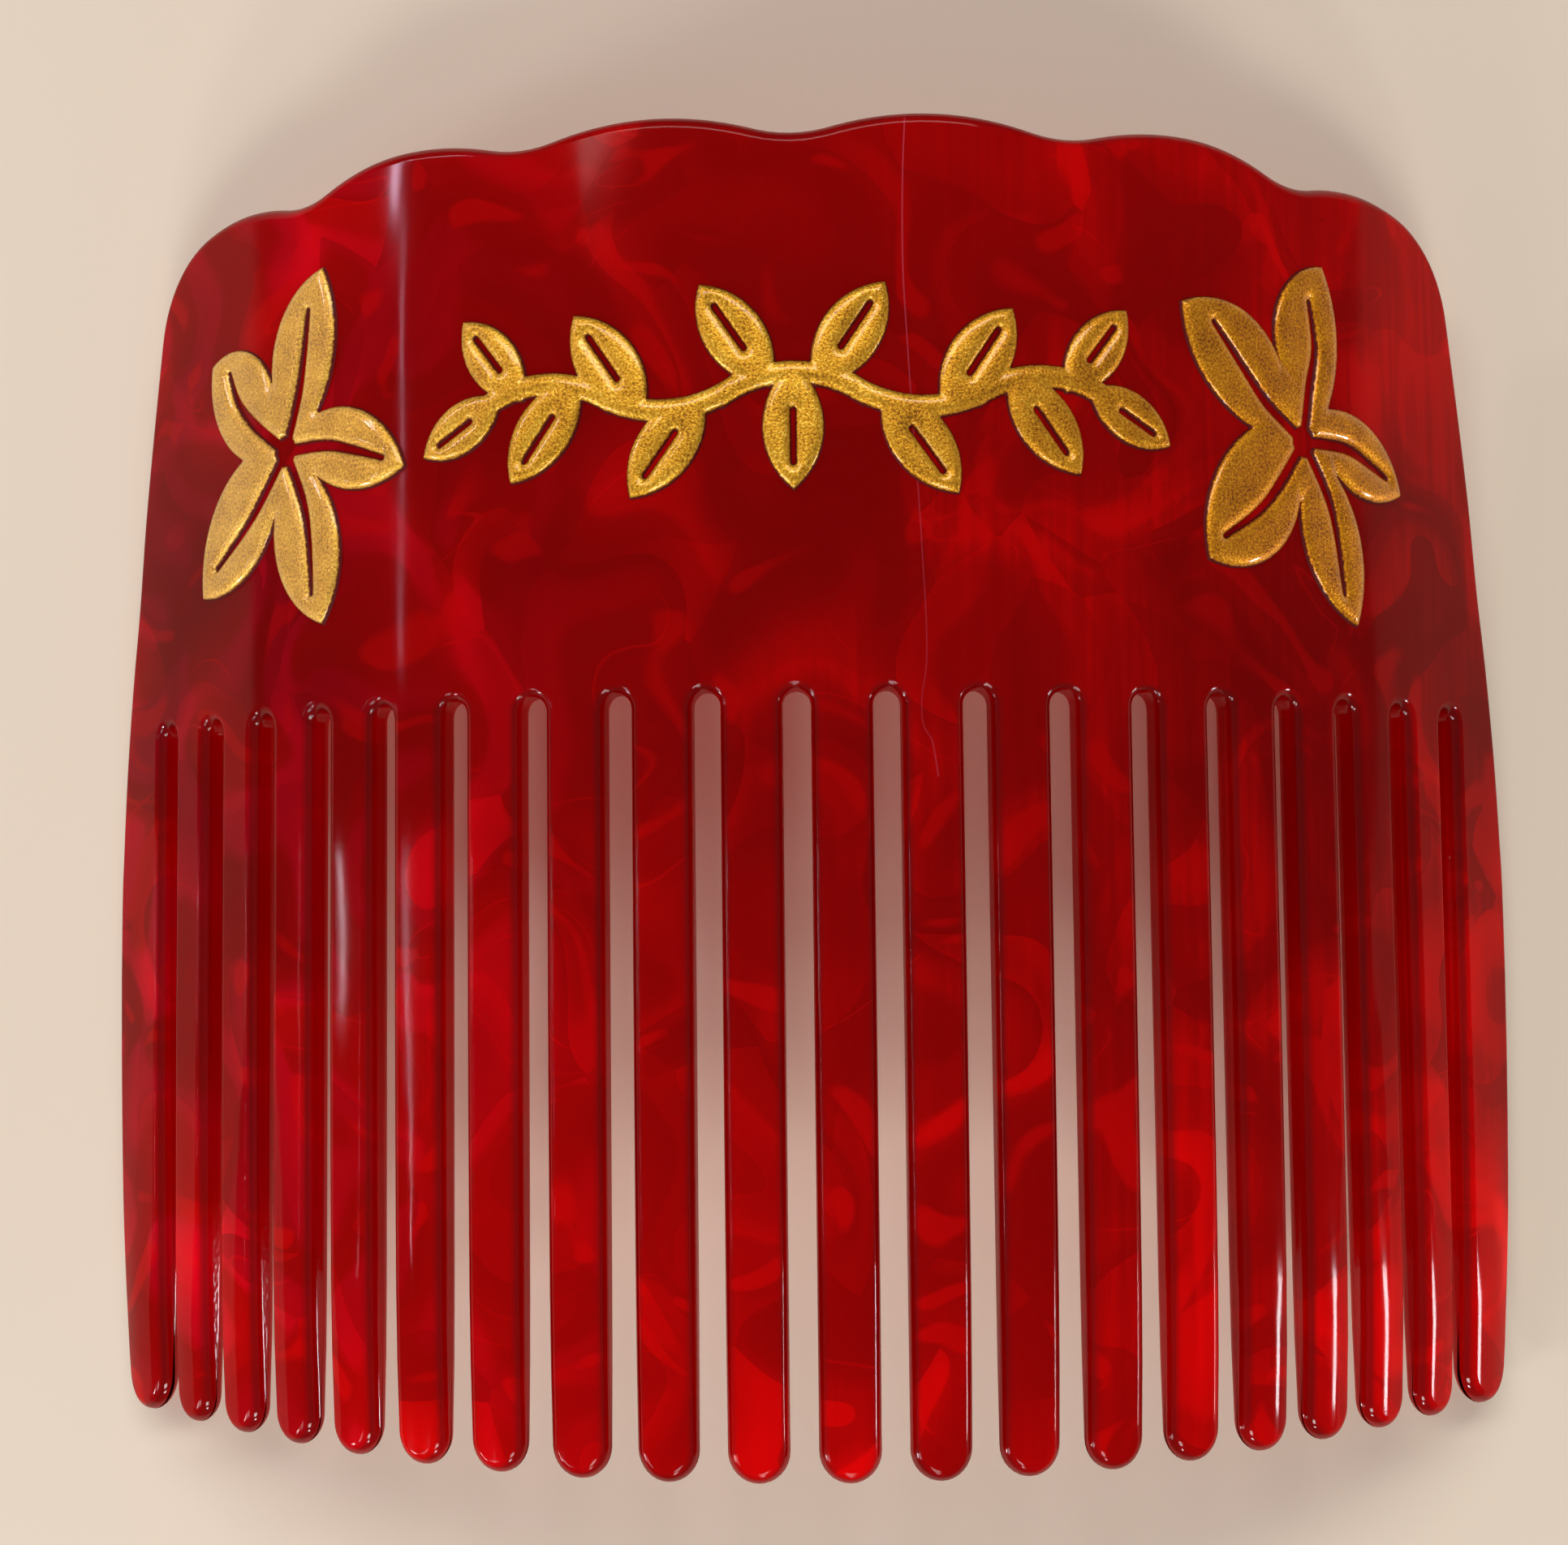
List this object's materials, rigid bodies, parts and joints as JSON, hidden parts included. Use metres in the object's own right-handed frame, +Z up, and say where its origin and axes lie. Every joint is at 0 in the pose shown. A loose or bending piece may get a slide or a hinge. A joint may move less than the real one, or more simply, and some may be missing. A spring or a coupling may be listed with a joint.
{
  "type": "hair comb",
  "caption": "Arched hair comb of deep-red pearly plastic with a scalloped top edge, a row of rounded teeth, and flowers and a leaf vine in low gold relief.",
  "frame": {"origin": "centre of the bounding box's base: the comb lies on its two side edges, arched side up", "axes": "+Z up, away from the surface it lies on; +Y along the teeth from the tips towards the scalloped top edge; +X across the comb, to the right when the top edge points away"},
  "size_m": [0.1122, 0.0952, 0.0313],
  "materials": {
    "pearl_red": "polished pearly acetate, slightly translucent, with soft lighter clouds",
    "gold": "grainy gold paint on low relief"
  },
  "bodies": {
    "root": {"comb": "pearl_red", "flower_left": "gold", "flower_right": "gold", "vine": "gold"}
  },
  "joints": []
}
